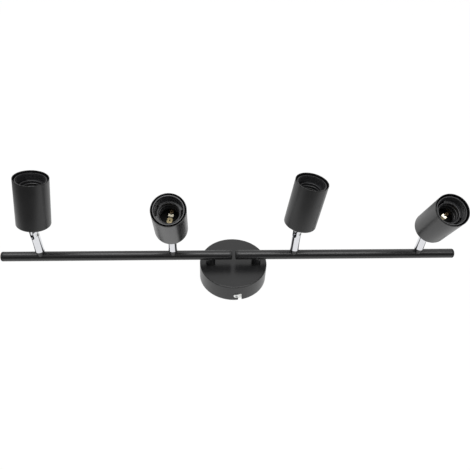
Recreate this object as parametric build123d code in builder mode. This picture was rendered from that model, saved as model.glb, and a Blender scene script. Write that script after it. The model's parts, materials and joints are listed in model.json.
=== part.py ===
from build123d import *
import os
from math import cos, radians, sin, sqrt

# A ceiling spot bar: a canopy carries two swivelling tube arms, and each arm carries two
# lamp heads on chrome stems that swivel and tilt.
# The origin is the centre of the ceiling plane. +Z points away from the ceiling, and the
# arms lie along X. Sizes are in millimetres, angles in degrees.

# Clearances
shaft_fit = 0.05
turn_gap = 0.1
loose_fit = 0.2

# Canopy
canopy_diameter = 100.0
canopy_height = 27.5
canopy_wall = 1.2
canopy_edge_radius = 1.0

# Mounting bracket: a strip on the ceiling with a tab bent up at each end
bracket_width = 18.0
bracket_thickness = 1.5
bracket_bend_radius = 2.5
bracket_tab_height = 15.0
bracket_to_wall = 1.2
ceiling_hole_circle = 52.0
ceiling_hole_diameter = 4.5
supply_hole_diameter = 9.0
supply_hole_offset = 17.0
earth_screw_offset = 17.0
earth_screw_diameter = 4.0
earth_screw_head_diameter = 7.0
earth_screw_head_height = 2.4

# Side screws, which slide into L-shaped notches in the canopy wall
side_screw_height = 9.7
side_screw_diameter = 4.0
side_screw_head_diameter = 8.0
side_screw_head_height = 1.8
side_screw_reach = 3.0
notch_width = 5.4
notch_travel = 5.6
bracket_turn = 3.1

# Terminal block
pole_count = 3
pole_pitch = 8.0
block_width = 15.0
block_base_height = 3.0
block_height = 12.0
barrel_radius = 3.6
turret_radius = 2.8
clamp_radius = 2.2
clamp_bore_radius = 1.4
clamp_length = 12.0
clamp_screw_radius = 1.4
clamp_screw_spacing = 7.0
clamp_screw_sink = 1.5

# Leads
lead_radius = 1.2
lead_bend_radius = 3.0
core_radius = 0.85

# Arms
arm_gap = 5.0
arm_length = 331.5
tube_diameter = 14.0
tube_wall = 1.0
cap_length = 3.5
cap_edge_radius = 2.0
cap_plug_length = 8.0
cap_seam_width = 0.4
cap_seam_depth = 0.25
post_spacing = 68.0
post_height = 8.8
post_diameter = 13.8
nipple_diameter = 10.0
nipple_length = 12.5
post_bore = 7.0
post_nut_width = 14.0
post_nut_height = 5.0
post_washer_diameter = 18.0
post_washer_thickness = 1.0

# Stems
inner_head_spacing = 178.0
outer_stem_overhang = 56.2
collar_height = 5.8
collar_base_diameter = 13.6
collar_top_diameter = 12.9
stem_diameter = 12.6
pivot_height = 39.7
spigot_diameter = 8.0
stem_bore = 5.0
clip_height = 1.4
clip_wall = 0.9
spigot_tail = 0.6

# Knuckle: a tongue on the head turns in the slot of the stem
slot_width = 7.4
slot_floor_drop = 4.2
tongue_thickness = 3.4
tongue_radius = 5.0
shoulder_gap = 0.4
neck_length = 15.2
stud_diameter = 10.0
neck_bore = 7.6
pin_diameter = 4.0
pin_head_diameter = 5.5
pin_head_height = 1.5
pin_tail = 5.6
pin_washer_diameter = 6.4

# Heads
head_diameter = 46.0
head_length = 69.4
head_wall = 0.8
head_back_wall = 1.2
head_edge_radius = 1.2
mouth_edge_radius = 0.3

# Lampholder: depths are measured from the mouth of the shade
lip_depth = 2.4
lip_diameter = 40.6
lip_edge_radius = 0.25
lip_width = 1.4
ledge_depth = 11.2
ledge_diameter = 36.4
ledge_thickness = 2.0
socket_diameter = 26.8
socket_length = 21.0
socket_wall = 1.8
socket_bead_width = 1.6
socket_bead_height = 0.6
floor_depth = 36.0
skirt_shoulder_depth = 9.0
skirt_diameter = 38.0
skirt_wall = 1.4
skirt_end_depth = 46.0
crescent_radius = 16.7
crescent_width = 2.7
crescent_span = 46.0
block_thickness = 5.0
block_flange_wall = 2.4
block_well_step = 0.6
cap_wall = 2.5
cap_base_height = 6.3
cap_foot_radius = 11.0
cap_dome_height = 10.0

# Contacts
contact_thickness = 0.8
centre_contact_width = 7.0
centre_contact_length = 8.2
centre_contact_shift = 0.9
contact_hole_radius = 1.2
side_contact_width = 7.0
side_contact_start = 3.4
side_contact_end = 8.1
side_contact_foot = 1.6
side_contact_step = 0.6
side_contact_rise = 1.1
side_notch_width = 3.0
rivet_offset = 11.4
rivet_radius = 1.7
rivet_height = 3.6
rivet_bore_radius = 0.8

# How the heads stand in the photograph: swivel is the compass heading that the head leans to,
# tilt is the lean, socket_turn turns the lampholder about the head's own axis,
# and ring_lift is how far its front ring stands out of its usual place
head_poses = [
    {"swivel": 58.5, "tilt": 13.0, "socket_turn": 0.0, "ring_lift": 0.0},
    {"swivel": -89.9, "tilt": 27.2, "socket_turn": -12.0, "ring_lift": 2.2},
    {"swivel": 37.9, "tilt": 9.4, "socket_turn": 0.0, "ring_lift": 0.0},
    {"swivel": -90.3, "tilt": 27.7, "socket_turn": -50.0, "ring_lift": 0.0},
]

# Places worked out from the sizes above
canopy_radius = canopy_diameter / 2
canopy_face_inside = canopy_height - canopy_wall
tube_radius = tube_diameter / 2
tube_bore_radius = tube_radius - tube_wall
tube_z = canopy_height + turn_gap + post_height + tube_radius
tube_top = tube_z + tube_radius
post_x = post_spacing / 2
post_bore_radius = post_bore / 2
nipple_end = canopy_height - nipple_length
arm_start = arm_gap / 2
arm_end = arm_start + arm_length
inner_stem_x = inner_head_spacing / 2
outer_stem_x = arm_end - outer_stem_overhang
collar_top = tube_top + collar_height
stem_radius = stem_diameter / 2
stem_base = collar_top + turn_gap
pivot_z = tube_top + pivot_height
spigot_radius = spigot_diameter / 2
clip_radius = spigot_radius + clip_wall
clip_top = tube_z + sqrt(tube_bore_radius**2 - clip_radius**2) - loose_fit
spigot_end = clip_top - clip_height - spigot_tail
pin_radius = pin_diameter / 2
pin_seat = stem_radius - pin_head_height - loose_fit
shoulder = stem_radius + shoulder_gap
head_back = neck_length
head_mouth = neck_length + head_length
head_radius = head_diameter / 2
stud_radius = stud_diameter / 2
cap_foot = head_back + head_back_wall
stud_length = head_back_wall + cap_base_height
lower_lead_z = tube_z - tube_bore_radius + lead_radius + turn_gap
upper_lead_z = lower_lead_z + 2 * lead_radius + turn_gap
slot_floor = pivot_z - slot_floor_drop - slot_width / 2
tab_face = canopy_radius - canopy_wall - bracket_to_wall
clamp_z = bracket_thickness + block_base_height + clamp_radius
screw_head_face = canopy_radius + turn_gap


def at_depth(depth):
    """Distance from the knuckle pin of a point so far below the shade's mouth."""
    return head_mouth - depth


class Spot:
    """Axes and planes of one head and its stem, from the stem's place and the head's pose."""

    def __init__(self, stem_x, pose):
        upright = Vector(0, 0, 1)
        heading = Vector(cos(radians(pose["swivel"])), sin(radians(pose["swivel"])), 0)
        lean = radians(pose["tilt"])
        self.stem_x = stem_x
        self.ring_lift = pose["ring_lift"]
        self.pivot = Vector(stem_x, 0, pivot_z)
        self.pin = upright.cross(heading)
        self.aim = upright * cos(lean) + heading * sin(lean)
        across = heading * cos(lean) - upright * sin(lean)
        self.aim_axis = Axis(self.pivot, self.aim)
        # x to the heading, y up the stem
        self.stem_plane = Plane(self.pivot, x_dir=heading, z_dir=-self.pin)
        # x across the head, y along its axis
        self.head_plane = Plane(self.pivot, x_dir=across, z_dir=-self.pin)
        # x along the pin, y up the stem
        self.slot_plane = Plane(self.pivot, x_dir=self.pin, z_dir=heading)
        turn = Axis((0, 0, 0), self.aim)
        self.contact_way = (across * -1).rotate(turn, pose["socket_turn"])

    def level_plane(self, z):
        """Plane square to the stem at this height."""
        return Plane((self.stem_x, 0, z))

    def cross_plane(self, distance):
        """Plane square to the head's axis, x along the pin."""
        return Plane(self.pivot + self.aim * distance, x_dir=self.pin, z_dir=self.aim)

    def socket_plane(self, distance):
        """Plane square to the head's axis, x towards the side contact."""
        return Plane(self.pivot + self.aim * distance, x_dir=self.contact_way, z_dir=self.aim)

    def contact_profile(self, distance):
        """Plane along the head's axis, x towards the side contact, y along the axis."""
        return Plane(
            self.pivot + self.aim * distance,
            x_dir=self.contact_way,
            z_dir=self.contact_way.cross(self.aim),
        )


def save(part, name):
    part.label = name
    export_step(part, f"parts/{name}.step")


def wall_plane(radius, half_turn):
    """Plane against the canopy wall at a side screw: x along the wall, y up, facing out."""
    turn = radians(bracket_turn + half_turn)
    outward = Vector(sin(turn), -cos(turn), 0)
    return Plane(outward * radius, x_dir=Vector(cos(turn), sin(turn), 0), z_dir=outward)


def tube_outline(x):
    """Plane across an arm at this x, centred on the tube."""
    return Plane((x, 0, tube_z), x_dir=(0, 1, 0), z_dir=(1, 0, 0))


os.makedirs("parts", exist_ok=True)
opposite_sides = (0, 180)

# Canopy: a drawn cup with two post holes and two L-shaped notches
with BuildPart() as canopy:
    with BuildSketch(Plane.XZ):
        with BuildLine():
            Polyline(
                (0, canopy_height),
                (canopy_radius, canopy_height),
                (canopy_radius, 0),
                (canopy_radius - canopy_wall, 0),
                (canopy_radius - canopy_wall, canopy_face_inside),
                (0, canopy_face_inside),
                close=True,
            )
        make_face()
    revolve(axis=Axis.Z)
    face_edge = canopy.edges().filter_by(GeomType.CIRCLE).group_by(Axis.Z)[-1]
    fillet(face_edge, radius=canopy_edge_radius)
    with Locations((-post_x, 0, canopy_height), (post_x, 0, canopy_height)):
        Hole(radius=nipple_diameter / 2 + turn_gap, depth=2 * canopy_wall)
    for side in opposite_sides:
        with BuildSketch(wall_plane(canopy_radius, side)):
            with Locations((notch_travel / 2, side_screw_height)):
                SlotCenterToCenter(notch_travel, notch_width)
            with Locations((notch_travel, side_screw_height / 2)):
                Rectangle(notch_width, side_screw_height)
        extrude(amount=3 * canopy_wall, both=True, mode=Mode.SUBTRACT)
save(canopy.part, "canopy")

# Mounting bracket: strip and bent tabs from one profile
bracket_plane = Plane.XY.rotated((0, 0, bracket_turn))
bracket_side = Plane((0, 0, 0), x_dir=bracket_plane.y_dir, z_dir=bracket_plane.x_dir)
with BuildPart() as mounting_bracket:
    with BuildSketch(bracket_side) as bracket_profile:
        with BuildLine():
            Polyline(
                (-tab_face, bracket_tab_height),
                (-tab_face, 0),
                (tab_face, 0),
                (tab_face, bracket_tab_height),
                (tab_face - bracket_thickness, bracket_tab_height),
                (tab_face - bracket_thickness, bracket_thickness),
                (bracket_thickness - tab_face, bracket_thickness),
                (bracket_thickness - tab_face, bracket_tab_height),
                close=True,
            )
        make_face()
        strip_corners = bracket_profile.vertices().group_by(Axis.Y)
        fillet(strip_corners[0], radius=bracket_bend_radius)
        fillet(strip_corners[1], radius=bracket_bend_radius - bracket_thickness)
    extrude(amount=bracket_width / 2, both=True)
    with BuildSketch(bracket_plane):
        with Locations((0, -ceiling_hole_circle / 2), (0, ceiling_hole_circle / 2)):
            Circle(ceiling_hole_diameter / 2)
        with Locations((0, -supply_hole_offset)):
            Circle(supply_hole_diameter / 2)
        with Locations((0, earth_screw_offset)):
            Circle(earth_screw_diameter / 2 + shaft_fit)
    extrude(amount=bracket_thickness, mode=Mode.SUBTRACT)
    for side in opposite_sides:
        with BuildSketch(wall_plane(tab_face, side)):
            with Locations((0, side_screw_height)):
                Circle(side_screw_diameter / 2 + shaft_fit)
        extrude(amount=-bracket_thickness, mode=Mode.SUBTRACT)
save(mounting_bracket.part, "mounting_bracket")

# Side screws: pan heads outside the canopy, shanks in the bracket tabs
with BuildPart() as bracket_screws:
    for side in opposite_sides:
        with BuildSketch(wall_plane(screw_head_face, side)):
            with Locations((0, side_screw_height)):
                Circle(side_screw_head_diameter / 2)
        extrude(amount=side_screw_head_height)
        with BuildSketch(wall_plane(tab_face - bracket_thickness - side_screw_reach, side)):
            with Locations((0, side_screw_height)):
                Circle(side_screw_diameter / 2)
        extrude(amount=screw_head_face - tab_face + bracket_thickness + side_screw_reach)
    rim_edges = bracket_screws.edges().filter_by(GeomType.CIRCLE)
    outer_rims = rim_edges.sort_by(Axis((0, 0, 0), wall_plane(1, 0).z_dir))
    fillet([outer_rims[0], outer_rims[-1]], radius=side_screw_head_height / 2)
save(bracket_screws.part, "bracket_screws")

# Earth screw in the bracket strip
with BuildPart() as earth_screw:
    with BuildSketch(bracket_plane.offset(bracket_thickness)):
        with Locations((0, earth_screw_offset)):
            Circle(earth_screw_head_diameter / 2)
    extrude(amount=earth_screw_head_height)
    with BuildSketch(bracket_plane.offset(turn_gap)):
        with Locations((0, earth_screw_offset)):
            Circle(earth_screw_diameter / 2)
    extrude(amount=bracket_thickness)
save(earth_screw.part, "earth_screw")

# Terminal block: a base, a round barrel for each pole, and screw turrets
block_length = pole_count * pole_pitch
block_top = bracket_thickness + block_height
pole_line = Plane((0, 0, clamp_z), x_dir=(0, 1, 0), z_dir=(1, 0, 0))
with BuildPart() as terminal_block:
    with BuildSketch(Plane.XY.offset(bracket_thickness)):
        Rectangle(block_width, block_length)
    extrude(amount=block_base_height)
    with BuildSketch(pole_line):
        with GridLocations(pole_pitch, 0, pole_count, 1):
            Circle(barrel_radius)
            with Locations((0, -clamp_radius / 2)):
                Rectangle(2 * barrel_radius, clamp_radius)
    extrude(amount=block_width / 2, both=True)
    with BuildSketch(Plane.XY.offset(clamp_z)):
        with GridLocations(clamp_screw_spacing, pole_pitch, 2, pole_count):
            Circle(turret_radius)
    extrude(amount=block_top - clamp_z)
    with BuildSketch(pole_line):
        with GridLocations(pole_pitch, 0, pole_count, 1):
            Circle(clamp_radius + shaft_fit)
    extrude(amount=block_width, both=True, mode=Mode.SUBTRACT)
    with BuildSketch(Plane.XY.offset(clamp_z)):
        with GridLocations(clamp_screw_spacing, pole_pitch, 2, pole_count):
            Circle(clamp_screw_radius + loose_fit)
    extrude(amount=block_height, mode=Mode.SUBTRACT)
save(terminal_block.part, "terminal_block")

# Brass clamps and their screws
clamp_screw_tip = clamp_z + lead_radius + shaft_fit
with BuildPart() as terminal_clamps:
    with BuildSketch(pole_line):
        with GridLocations(pole_pitch, 0, pole_count, 1):
            Circle(clamp_radius)
            Circle(clamp_bore_radius, mode=Mode.SUBTRACT)
    extrude(amount=clamp_length / 2, both=True)
    with BuildSketch(Plane.XY.offset(clamp_z)):
        with GridLocations(clamp_screw_spacing, pole_pitch, 2, pole_count):
            Circle(clamp_screw_radius + shaft_fit)
    extrude(amount=2 * clamp_radius, mode=Mode.SUBTRACT)
    with BuildSketch(Plane.XY.offset(clamp_screw_tip)):
        with GridLocations(clamp_screw_spacing, pole_pitch, 2, pole_count):
            Circle(clamp_screw_radius)
    extrude(amount=block_top - clamp_screw_sink - clamp_screw_tip)
save(terminal_clamps.part, "terminal_clamps")

# Leads from the terminal block to the foot of each post
with BuildPart() as canopy_leads:
    for side in (-1, 1):
        with BuildLine() as canopy_route:
            FilletPolyline(
                (side * clamp_screw_spacing / 4, 0, clamp_z),
                (side * post_x, 0, clamp_z),
                (side * post_x, 0, nipple_end - lead_radius),
                radius=lead_bend_radius,
            )
        with BuildSketch(Plane(canopy_route.line @ 0, z_dir=canopy_route.line % 0)):
            Circle(lead_radius)
        sweep()
save(canopy_leads.part, "canopy_leads")


def make_arm(side, name):
    """Tube arm on its post, on the side of X given by 1 or -1."""
    stem_places = (side * inner_stem_x, side * outer_stem_x)
    tube_start = arm_start + cap_length
    tube_length = arm_length - 2 * cap_length

    with BuildPart() as arm_tube:
        with BuildSketch(tube_outline(side * tube_start)):
            Circle(tube_radius)
            Circle(tube_bore_radius, mode=Mode.SUBTRACT)
        extrude(amount=side * tube_length)
        with BuildSketch(Plane.XY.offset(tube_z)):
            with Locations([(x, 0) for x in stem_places]):
                Circle(spigot_radius + loose_fit)
        extrude(amount=tube_diameter, mode=Mode.SUBTRACT)
        with BuildSketch(Plane.XY.offset(tube_z)):
            with Locations((side * post_x, 0)):
                Circle(post_bore_radius)
        extrude(amount=-tube_diameter, mode=Mode.SUBTRACT)
    save(arm_tube.part, f"arm_tube_{name}")

    with BuildPart() as end_caps:
        for seat, outward in ((tube_start, -side), (tube_start + tube_length, side)):
            with BuildSketch(tube_outline(side * seat)):
                Circle(tube_radius - cap_seam_depth)
            extrude(amount=outward * cap_length)
            with BuildSketch(tube_outline(side * seat + outward * cap_seam_width)):
                Circle(tube_radius)
            extrude(amount=outward * (cap_length - cap_seam_width))
            with BuildSketch(tube_outline(side * seat)):
                Circle(tube_bore_radius - shaft_fit)
            extrude(amount=-outward * cap_plug_length)
        cap_edges = end_caps.edges().filter_by(GeomType.CIRCLE).sort_by(Axis.X)
        fillet([cap_edges[0], cap_edges[-1]], radius=cap_edge_radius)
    save(end_caps.part, f"end_caps_{name}")

    with BuildPart() as arm_post:
        with BuildSketch(Plane.XY.offset(canopy_height + turn_gap)):
            with Locations((side * post_x, 0)):
                Circle(post_diameter / 2)
        extrude(amount=post_height + tube_radius)
        with BuildSketch(tube_outline(side * post_x)):
            Circle(tube_radius)
        extrude(amount=post_diameter, both=True, mode=Mode.SUBTRACT)
        with BuildSketch(Plane.XY.offset(nipple_end)):
            with Locations((side * post_x, 0)):
                Circle(nipple_diameter / 2)
        extrude(amount=nipple_length + turn_gap)
        with BuildSketch(Plane.XY.offset(nipple_end)):
            with Locations((side * post_x, 0)):
                Circle(post_bore_radius)
        extrude(amount=tube_z - nipple_end, mode=Mode.SUBTRACT)
    save(arm_post.part, f"arm_post_{name}")

    washer_top = canopy_face_inside - turn_gap
    nut_top = washer_top - post_washer_thickness
    thread_radius = nipple_diameter / 2 + shaft_fit
    with BuildPart() as post_nut:
        with BuildSketch(Plane.XY.offset(nut_top)):
            with Locations((side * post_x, 0)):
                Circle(post_washer_diameter / 2)
                Circle(thread_radius, mode=Mode.SUBTRACT)
        extrude(amount=post_washer_thickness)
        with BuildSketch(Plane.XY.offset(nut_top)):
            with Locations((side * post_x, 0)):
                RegularPolygon(post_nut_width / 2, 6, major_radius=False)
                Circle(thread_radius, mode=Mode.SUBTRACT)
        extrude(amount=-post_nut_height)
    save(post_nut.part, f"post_nut_{name}")

    with BuildPart() as swivel_collars:
        for x in stem_places:
            with BuildSketch(Plane((x, 0, 0), x_dir=(1, 0, 0), z_dir=(0, -1, 0))):
                with BuildLine():
                    Polyline(
                        (spigot_radius + shaft_fit, tube_z),
                        (collar_base_diameter / 2, tube_z),
                        (collar_base_diameter / 2, tube_top),
                        (collar_top_diameter / 2, collar_top),
                        (spigot_radius + shaft_fit, collar_top),
                        close=True,
                    )
                make_face()
            revolve(axis=Axis((x, 0, 0), (0, 0, 1)))
        with BuildSketch(tube_outline(side * inner_stem_x / 2)):
            Circle(tube_radius)
        extrude(amount=side * outer_stem_x, mode=Mode.SUBTRACT)
    save(swivel_collars.part, f"swivel_collars_{name}")

    lead_tops = slot_floor - lead_radius
    routes = (
        (post_x + lead_radius + turn_gap, lower_lead_z, outer_stem_x),
        (post_x - lead_radius - turn_gap, upper_lead_z, inner_stem_x),
    )
    with BuildPart() as arm_leads:
        for riser_x, run_z, stem_x in routes:
            with BuildLine() as arm_route:
                FilletPolyline(
                    (side * riser_x, 0, nipple_end),
                    (side * riser_x, 0, run_z),
                    (side * stem_x, 0, run_z),
                    (side * stem_x, 0, lead_tops),
                    radius=lead_bend_radius,
                )
            with BuildSketch(Plane(arm_route.line @ 0, z_dir=arm_route.line % 0)):
                Circle(lead_radius)
            sweep()
    save(arm_leads.part, f"arm_leads_{name}")


def make_stem(spot, number):
    """Chrome stem with its fork, its retaining ring in the tube and its knuckle screw."""
    with BuildPart() as stem:
        with BuildSketch(spot.stem_plane):
            Circle(stem_radius)
            with Locations((0, (stem_base - pivot_z) / 2)):
                Rectangle(stem_diameter, pivot_z - stem_base)
        extrude(amount=stem_radius, both=True)
        with BuildSketch(spot.level_plane(stem_base)):
            Circle(stem_radius)
        extrude(amount=pivot_z + stem_radius - stem_base, mode=Mode.INTERSECT)
        with BuildSketch(spot.level_plane(spigot_end)):
            Circle(spigot_radius)
        extrude(amount=stem_base - spigot_end)
        with BuildSketch(spot.slot_plane):
            with Locations((0, -slot_floor_drop)):
                Circle(slot_width / 2)
            with Locations((0, (stem_radius - slot_floor_drop) / 2)):
                Rectangle(slot_width, stem_radius + slot_floor_drop)
        extrude(amount=stem_diameter, both=True, mode=Mode.SUBTRACT)
        with BuildSketch(spot.level_plane(spigot_end)):
            Circle(stem_bore / 2)
        extrude(amount=slot_floor + slot_width / 2 - spigot_end, mode=Mode.SUBTRACT)
        with BuildSketch(spot.stem_plane):
            Circle(pin_radius + shaft_fit)
        extrude(amount=stem_diameter, both=True, mode=Mode.SUBTRACT)
        with BuildSketch(spot.stem_plane.offset(pin_seat)):
            Circle(pin_head_diameter / 2 + loose_fit)
        extrude(amount=stem_diameter, mode=Mode.SUBTRACT)
    save(stem.part, f"stem_{number}")

    with BuildPart() as stem_clip:
        with BuildSketch(spot.level_plane(clip_top)):
            Circle(clip_radius)
            Circle(spigot_radius + shaft_fit, mode=Mode.SUBTRACT)
        extrude(amount=-clip_height)
    save(stem_clip.part, f"stem_clip_{number}")

    washer_start = tongue_thickness / 2 + shaft_fit
    washer_thickness = slot_width / 2 - washer_start
    with BuildPart() as pivot_set:
        with BuildSketch(spot.stem_plane.offset(-pin_tail)):
            Circle(pin_radius)
        extrude(amount=pin_tail + pin_seat)
        with BuildSketch(spot.stem_plane.offset(pin_seat)):
            Circle(pin_head_diameter / 2)
        extrude(amount=pin_head_height)
        for start, way in ((washer_start, 1), (-washer_start, -1)):
            with BuildSketch(spot.stem_plane.offset(start)):
                Circle(pin_washer_diameter / 2)
                Circle(pin_radius + shaft_fit, mode=Mode.SUBTRACT)
            extrude(amount=way * washer_thickness)
    save(pivot_set.part, f"pivot_set_{number}")


def make_knuckle(spot, number):
    """Tongue, neck and hollow threaded stud that carry one head."""
    with BuildPart() as knuckle:
        with BuildSketch(spot.head_plane):
            Circle(tongue_radius)
            with Locations((0, shoulder / 2)):
                Rectangle(2 * tongue_radius, shoulder)
        extrude(amount=tongue_thickness / 2, both=True)
        with BuildSketch(spot.cross_plane(shoulder)):
            Circle(stem_radius)
        extrude(amount=neck_length - shoulder)
        with BuildSketch(spot.cross_plane(neck_length)):
            Circle(stud_radius)
        extrude(amount=stud_length)
        with BuildSketch(spot.cross_plane(shoulder)):
            Circle(neck_bore / 2)
        extrude(amount=neck_length - shoulder + stud_length, mode=Mode.SUBTRACT)
        with BuildSketch(spot.head_plane):
            Circle(pin_radius + shaft_fit)
        extrude(amount=tongue_thickness, both=True, mode=Mode.SUBTRACT)
    save(knuckle.part, f"knuckle_{number}")


def make_shade(spot, number):
    """Drawn cylinder cup, open at the mouth."""
    with BuildPart() as shade:
        with BuildSketch(spot.head_plane):
            with BuildLine():
                Polyline(
                    (stud_radius + turn_gap, head_back),
                    (head_radius, head_back),
                    (head_radius, head_mouth),
                    (head_radius - head_wall, head_mouth),
                    (head_radius - head_wall, cap_foot),
                    (stud_radius + turn_gap, cap_foot),
                    close=True,
                )
            make_face()
        revolve(axis=spot.aim_axis)
        back_edges = shade.edges().filter_by(GeomType.CIRCLE).group_by(spot.aim_axis)[0]
        fillet(back_edges.sort_by(SortBy.RADIUS)[-1], radius=head_edge_radius)
        mouth_edges = shade.edges().filter_by(GeomType.CIRCLE).group_by(spot.aim_axis)[-1]
        fillet(mouth_edges, radius=mouth_edge_radius)
    save(shade.part, f"shade_{number}")


def make_lampholder(spot, number):
    """Rear cap, contact block, brass contacts and front skirt of one lampholder."""
    floor = at_depth(floor_depth)
    rim = at_depth(ledge_depth + socket_length)
    block_foot = floor - block_thickness
    socket_radius = socket_diameter / 2
    skirt_bore = skirt_diameter / 2 - skirt_wall
    cap_radius = skirt_bore - loose_fit
    block_radius = socket_radius + block_flange_wall
    cap_bore = block_radius - block_flange_wall / 2
    well_radius = socket_radius + block_well_step

    with BuildPart() as lampholder_cap:
        with BuildSketch(spot.head_plane):
            with BuildLine():
                Polyline(
                    (stud_radius + shaft_fit, cap_foot),
                    (cap_foot_radius, cap_foot),
                    (cap_radius, cap_foot + cap_dome_height),
                    (cap_radius, floor),
                    (block_radius + loose_fit, floor),
                    (block_radius + loose_fit, block_foot),
                    (cap_bore, block_foot),
                    (cap_bore, cap_foot + cap_dome_height),
                    (cap_foot_radius - cap_wall, cap_foot + cap_base_height),
                    (stud_radius + shaft_fit, cap_foot + cap_base_height),
                    close=True,
                )
            make_face()
        revolve(axis=spot.aim_axis)
    save(lampholder_cap.part, f"lampholder_cap_{number}")

    with BuildPart() as contact_block:
        with BuildSketch(spot.head_plane):
            with BuildLine():
                Polyline(
                    (0, block_foot),
                    (block_radius, block_foot),
                    (block_radius, rim),
                    (well_radius, rim),
                    (well_radius, floor),
                    (0, floor),
                    close=True,
                )
            make_face()
        revolve(axis=spot.aim_axis)
    save(contact_block.part, f"contact_block_{number}")

    spring_foot = side_contact_start + side_contact_foot
    spring_tip = side_contact_step + side_contact_rise
    with BuildPart() as contacts:
        with BuildSketch(spot.socket_plane(floor)):
            with Locations((-centre_contact_shift, 0)):
                RectangleRounded(centre_contact_length, centre_contact_width, centre_contact_width / 3)
                Circle(contact_hole_radius, mode=Mode.SUBTRACT)
        extrude(amount=contact_thickness)
        with BuildSketch(spot.contact_profile(floor)):
            with BuildLine():
                Polyline(
                    (side_contact_start, 0),
                    (spring_foot, 0),
                    (spring_foot, side_contact_step),
                    (side_contact_end, spring_tip),
                    (side_contact_end, spring_tip + contact_thickness),
                    (side_contact_start, side_contact_step + contact_thickness),
                    close=True,
                )
            make_face()
        extrude(amount=side_contact_width / 2, both=True)
        with BuildSketch(spot.socket_plane(floor)):
            with Locations((side_contact_end, 0)):
                RegularPolygon(side_notch_width / 2, 4, rotation=0)
        extrude(amount=at_depth(ledge_depth) - floor, mode=Mode.SUBTRACT)
        with BuildSketch(spot.socket_plane(floor)):
            with Locations((rivet_offset, 0)):
                Circle(rivet_radius)
                Circle(rivet_bore_radius, mode=Mode.SUBTRACT)
        extrude(amount=rivet_height)
    save(contacts.part, f"contacts_{number}")

    lip_radius = lip_diameter / 2
    lip_bore = lip_radius - lip_width
    lip_level = at_depth(lip_depth - spot.ring_lift)
    ledge = at_depth(ledge_depth)
    with BuildPart() as lampholder_skirt:
        with BuildSketch(spot.head_plane) as lampholder_profile:
            with BuildLine():
                Polyline(
                    (lip_radius, lip_level),
                    (lip_radius, at_depth(skirt_shoulder_depth)),
                    (skirt_diameter / 2, ledge - ledge_thickness),
                    (skirt_diameter / 2, at_depth(skirt_end_depth)),
                    (skirt_bore, at_depth(skirt_end_depth)),
                    (skirt_bore, ledge - ledge_thickness),
                    (socket_radius + socket_wall, ledge - ledge_thickness),
                    (socket_radius + socket_wall, rim),
                    (socket_radius, rim),
                    (socket_radius, ledge),
                )
                ThreePointArc(
                    (socket_radius, ledge),
                    (socket_radius + socket_bead_width / 2, ledge + socket_bead_height),
                    (socket_radius + socket_bead_width, ledge),
                )
                Polyline(
                    (socket_radius + socket_bead_width, ledge),
                    (ledge_diameter / 2, ledge),
                    (lip_bore, lip_level),
                    (lip_radius, lip_level),
                )
            make_face()
            lip_corners = lampholder_profile.vertices().group_by(Axis.Y)[-1]
            fillet(lip_corners, radius=lip_edge_radius)
        revolve(axis=spot.aim_axis)
        with BuildSketch(spot.socket_plane(ledge)):
            with PolarLocations(0, 2):
                SlotArc(crescent_arc, crescent_width)
        extrude(amount=-2 * ledge_thickness, mode=Mode.SUBTRACT)
    save(lampholder_skirt.part, f"lampholder_skirt_{number}")

    lead_offset = (tongue_thickness / 2 + neck_bore / 2) / 2
    lead_start = pin_washer_diameter / 2 + core_radius
    with BuildPart() as head_leads:
        with BuildSketch(spot.cross_plane(lead_start)):
            with Locations((-lead_offset, 0), (lead_offset, 0)):
                Circle(core_radius)
        extrude(amount=block_foot - lead_start)
    save(head_leads.part, f"head_leads_{number}")


crescent_arc = CenterArc((0, 0), crescent_radius, 90 - crescent_span / 2, crescent_span)
make_arm(-1, "left")
make_arm(1, "right")
stem_places = (-outer_stem_x, -inner_stem_x, inner_stem_x, outer_stem_x)
for number, (stem_x, pose) in enumerate(zip(stem_places, head_poses), start=1):
    head_spot = Spot(stem_x, pose)
    make_stem(head_spot, number)
    make_knuckle(head_spot, number)
    make_shade(head_spot, number)
    make_lampholder(head_spot, number)
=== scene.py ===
# %% [markdown]
# A black ceiling spot bar, dressed for a studio picture.
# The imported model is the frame: every solid already stands where it belongs, in metres, with the
# origin at the centre of the ceiling plane and the lamp heads pointing up.
# This lesson adds a camera, a white studio, finishes for each solid, and the fine parts that a
# solid model leaves out: threads, rings, screw heads with their recesses, slim collars and contacts.

# %% Load the frame
import json
from math import cos, pi, radians, sin

import bmesh
import bpy
from mathutils import Matrix, Vector


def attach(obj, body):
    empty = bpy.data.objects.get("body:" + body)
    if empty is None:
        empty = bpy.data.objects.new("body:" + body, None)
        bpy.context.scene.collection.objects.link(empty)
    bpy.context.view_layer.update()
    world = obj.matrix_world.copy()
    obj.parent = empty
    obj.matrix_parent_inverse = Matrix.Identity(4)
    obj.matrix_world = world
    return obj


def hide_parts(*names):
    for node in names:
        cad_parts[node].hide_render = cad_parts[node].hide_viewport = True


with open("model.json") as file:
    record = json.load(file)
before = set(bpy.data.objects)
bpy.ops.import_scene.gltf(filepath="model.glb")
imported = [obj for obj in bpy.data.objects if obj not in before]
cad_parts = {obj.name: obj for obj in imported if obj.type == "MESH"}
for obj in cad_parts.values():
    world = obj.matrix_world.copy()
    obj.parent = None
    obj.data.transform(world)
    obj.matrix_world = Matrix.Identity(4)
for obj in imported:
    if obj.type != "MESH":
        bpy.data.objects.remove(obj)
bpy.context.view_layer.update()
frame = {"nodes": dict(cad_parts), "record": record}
nodes = frame["nodes"]
record = frame["record"]
MM = 0.001

# %% [markdown]
# The photograph looks down at the bar from the front, a little from the left, with the camera
# turned slightly. A camera matrix holds its right, up and backward directions as columns, so the
# viewing direction and the roll are turned into those three vectors.

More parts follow.
